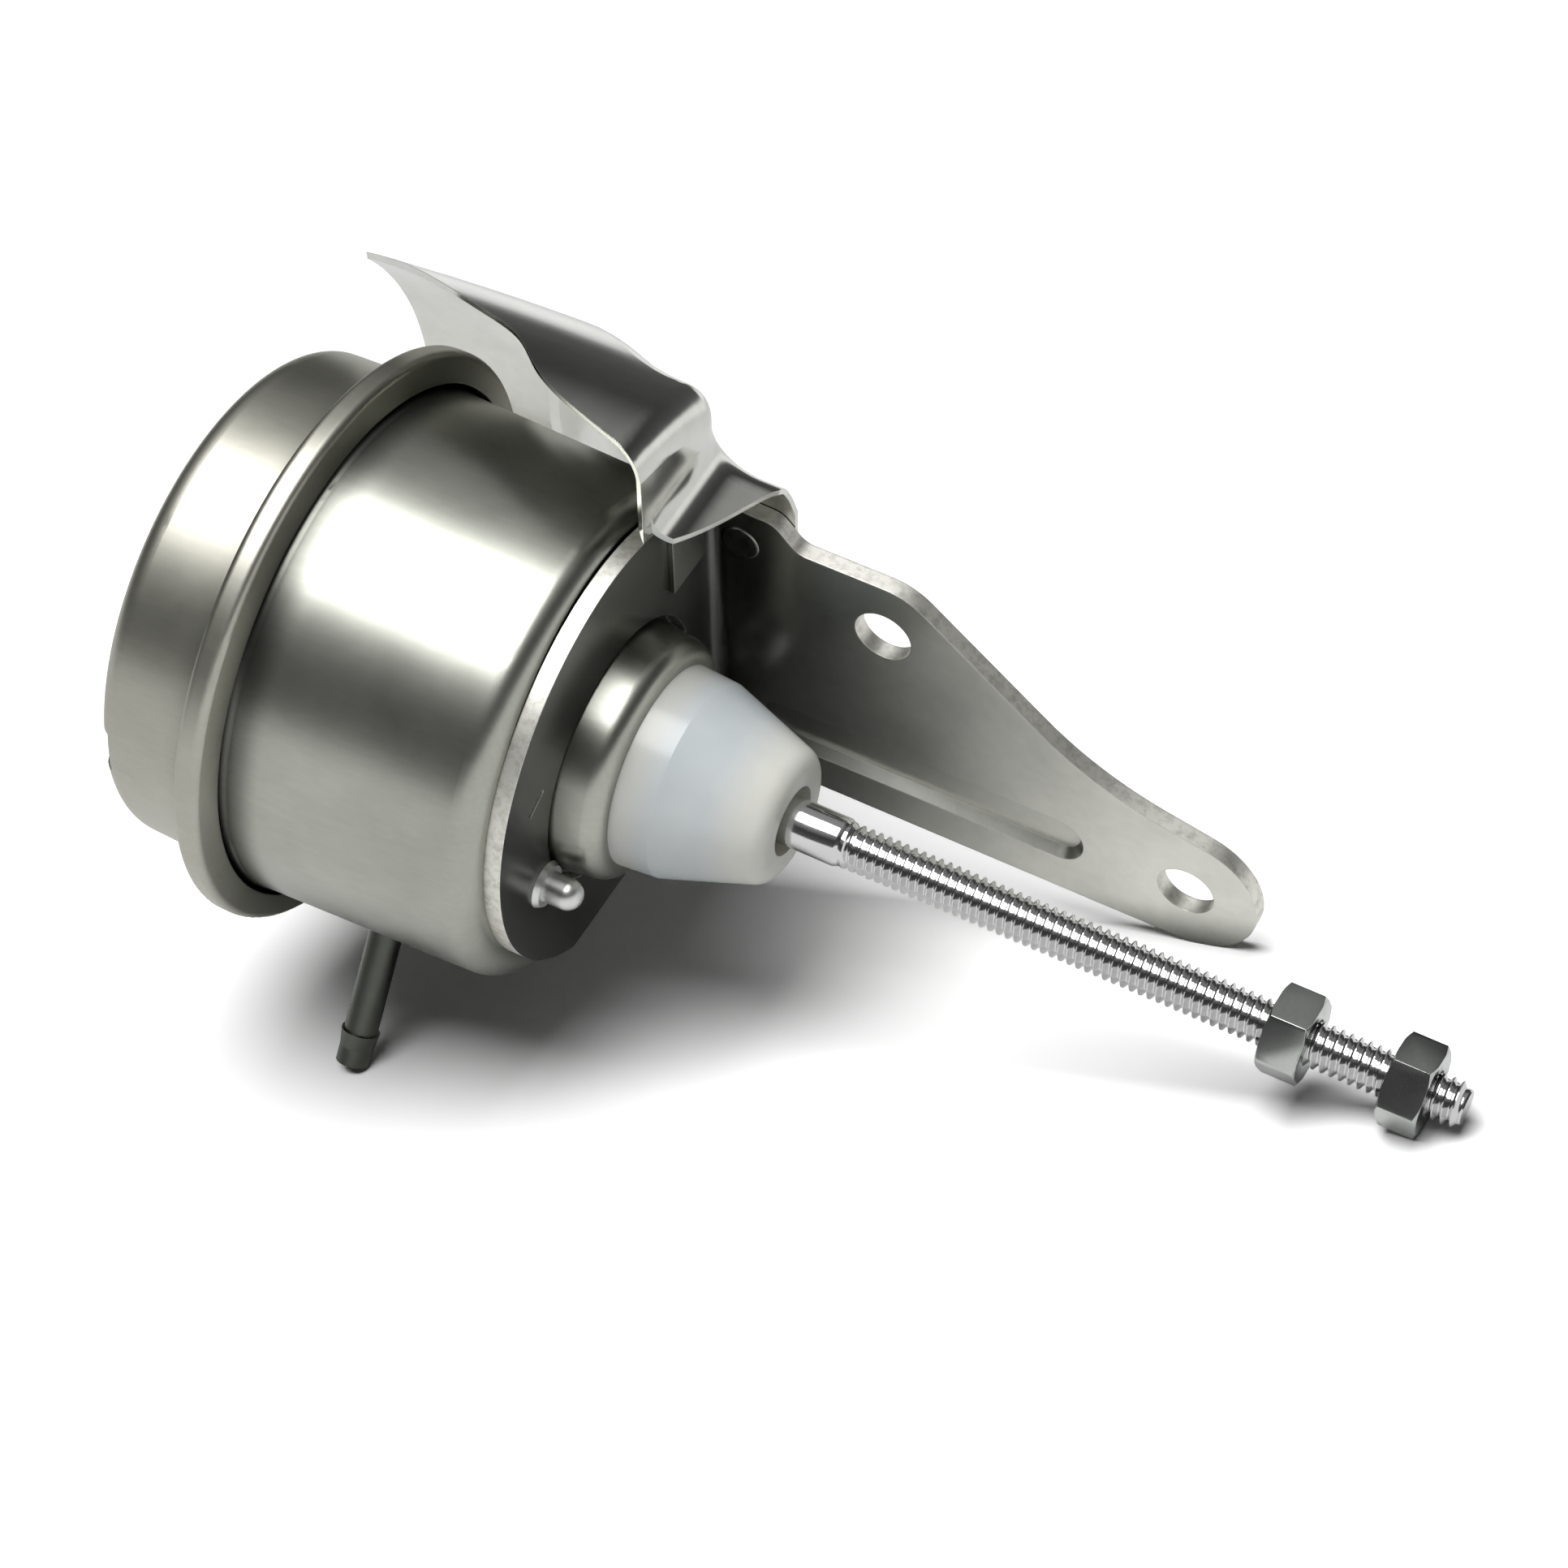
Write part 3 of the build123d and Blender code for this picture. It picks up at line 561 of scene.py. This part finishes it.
def floor_material():
    mat = bpy.data.materials.new("studio_floor")
    tree = empty_tree(mat)
    out = tree.nodes.new("ShaderNodeOutputMaterial")
    path = tree.nodes.new("ShaderNodeLightPath")
    in_camera = path.outputs["Is Camera Ray"]
    undiffused = math_node(tree, "LESS_THAN", path.outputs["Diffuse Depth"], 0.5)
    mirrored = math_node(tree, "MULTIPLY", mirror_ray(tree, path), undiffused)
    other = choose(
        tree, path.outputs["Is Diffuse Ray"], matt(tree, GREY_FOR_OTHERS), matt(tree, GREY_FOR_DIFFUSE)
    )
    top = choose(tree, mirrored, other, matt(tree, GREY_IN_MIRRORS))
    top = choose(tree, in_camera, top, matt(tree, GREY_IN_CAMERA))

    place = tree.nodes.new("ShaderNodeTexCoord")
    distance = tree.nodes.new("ShaderNodeVectorMath")
    distance.operation = "LENGTH"
    tree.links.new(place.outputs["Object"], distance.inputs[0])
    seen = math_node(tree, "MAXIMUM", in_camera, mirrored)
    far = between(tree, distance.outputs["Value"], WHITE_FROM, WHITE_TO)
    far = math_node(tree, "MULTIPLY", far, seen)
    top = choose(tree, far, top, glow(tree, WHITE, 1.0, "ShaderNodeEmission"))

    # from below, the floor doesn't hide the part
    clear = tree.nodes.new("ShaderNodeBsdfTransparent").outputs[0]
    side = tree.nodes.new("ShaderNodeNewGeometry")
    tree.links.new(choose(tree, side.outputs["Backfacing"], top, clear), out.inputs["Surface"])
    return mat


me = bpy.data.meshes.new("floor")
bm = bmesh.new()
bmesh.ops.create_grid(bm, x_segments=1, y_segments=1, size=FLOOR_HALF_SIZE)
bm.to_mesh(me)
bm.free()
me.materials.append(floor_material())
floor = bpy.data.objects.new("floor", me)
scene.collection.objects.link(floor)
upright = FLOOR_NORMAL.to_track_quat("Z", "Y").to_matrix().to_4x4()
floor.matrix_world = Matrix.Translation(FLOOR_POINT) @ upright


# world: white for the camera, a room in reflections, and a faint fill light

def room(tree):
    """The room round the white floor: pale at the horizon, dark above it, paler overhead."""
    way = tree.nodes.new("ShaderNodeTexCoord")
    height = tree.nodes.new("ShaderNodeVectorMath")
    height.operation = "DOT_PRODUCT"
    height.inputs[1].default_value = FLOOR_NORMAL
    tree.links.new(way.outputs["Generated"], height.inputs[0])
    share = math_node(tree, "MULTIPLY_ADD", height.outputs["Value"], 0.5, 0.5)
    return ramp(tree, share, (0.49, 1.0), (0.54, 0.10), (0.75, 0.045), (0.90, 0.30))


world = bpy.data.worlds.new("studio")
scene.world = world
tree = empty_tree(world)
out = tree.nodes.new("ShaderNodeOutputWorld")
path = tree.nodes.new("ShaderNodeLightPath")
fill = glow(tree, (0.95, 1.0, 0.97), 0.04)
around = choose(tree, mirror_ray(tree, path), fill, glow(tree, room(tree), 1.0))
around = choose(tree, path.outputs["Is Camera Ray"], around, glow(tree, WHITE, 1.0))
tree.links.new(around, out.inputs["Surface"])


# camera, at the photograph's place

PHOTO_SIZE_PX = 1932.0
FOCAL_LENGTH_PX = 5418.5
SENSOR_MM = 36.0
CAMERA_PLACE = Vector((198.518, -308.798, 458.936)) * MM
RIGHT = Vector((0.878, 0.479, -0.010)).normalized()
BACK = Vector((0.302, -0.538, 0.787)).normalized()
UP = BACK.cross(RIGHT).normalized()

cam = bpy.data.cameras.new("camera")
cam.sensor_width = SENSOR_MM
cam.lens = SENSOR_MM * FOCAL_LENGTH_PX / PHOTO_SIZE_PX
cam.clip_start = 0.01
camera = bpy.data.objects.new("camera", cam)
scene.collection.objects.link(camera)
camera.matrix_world = Matrix.Translation(CAMERA_PLACE) @ Matrix((RIGHT, UP, BACK)).transposed().to_4x4()
scene.camera = camera


# one large softbox overhead, leaning towards the camera's side

LAMP_AIM = Vector((0.02, 0.0, 0.0))
LAMP_DISTANCE = 1.4
LAMP_SIZE = 1.05
LAMP_WATTS = 22.0
LAMP_LEAN = math.radians(14)
LAMP_TURN = math.radians(-105)

floor_right = (RIGHT - FLOOR_NORMAL * RIGHT.dot(FLOOR_NORMAL)).normalized()
floor_away = FLOOR_NORMAL.cross(floor_right)
aside = floor_right * math.cos(LAMP_TURN) + floor_away * math.sin(LAMP_TURN)
lamp_way = FLOOR_NORMAL * math.cos(LAMP_LEAN) + aside * math.sin(LAMP_LEAN)
lamp_place = LAMP_AIM + lamp_way * LAMP_DISTANCE

lamp = bpy.data.lights.new("overhead", "AREA")
lamp.shape = "RECTANGLE"
lamp.size = LAMP_SIZE
lamp.size_y = LAMP_SIZE
lamp.energy = LAMP_WATTS
overhead = bpy.data.objects.new("overhead", lamp)
scene.collection.objects.link(overhead)
facing = (lamp_place - LAMP_AIM).to_track_quat("Z", "Y").to_matrix().to_4x4()
overhead.matrix_world = Matrix.Translation(lamp_place) @ facing

scene.view_settings.view_transform = "Standard"
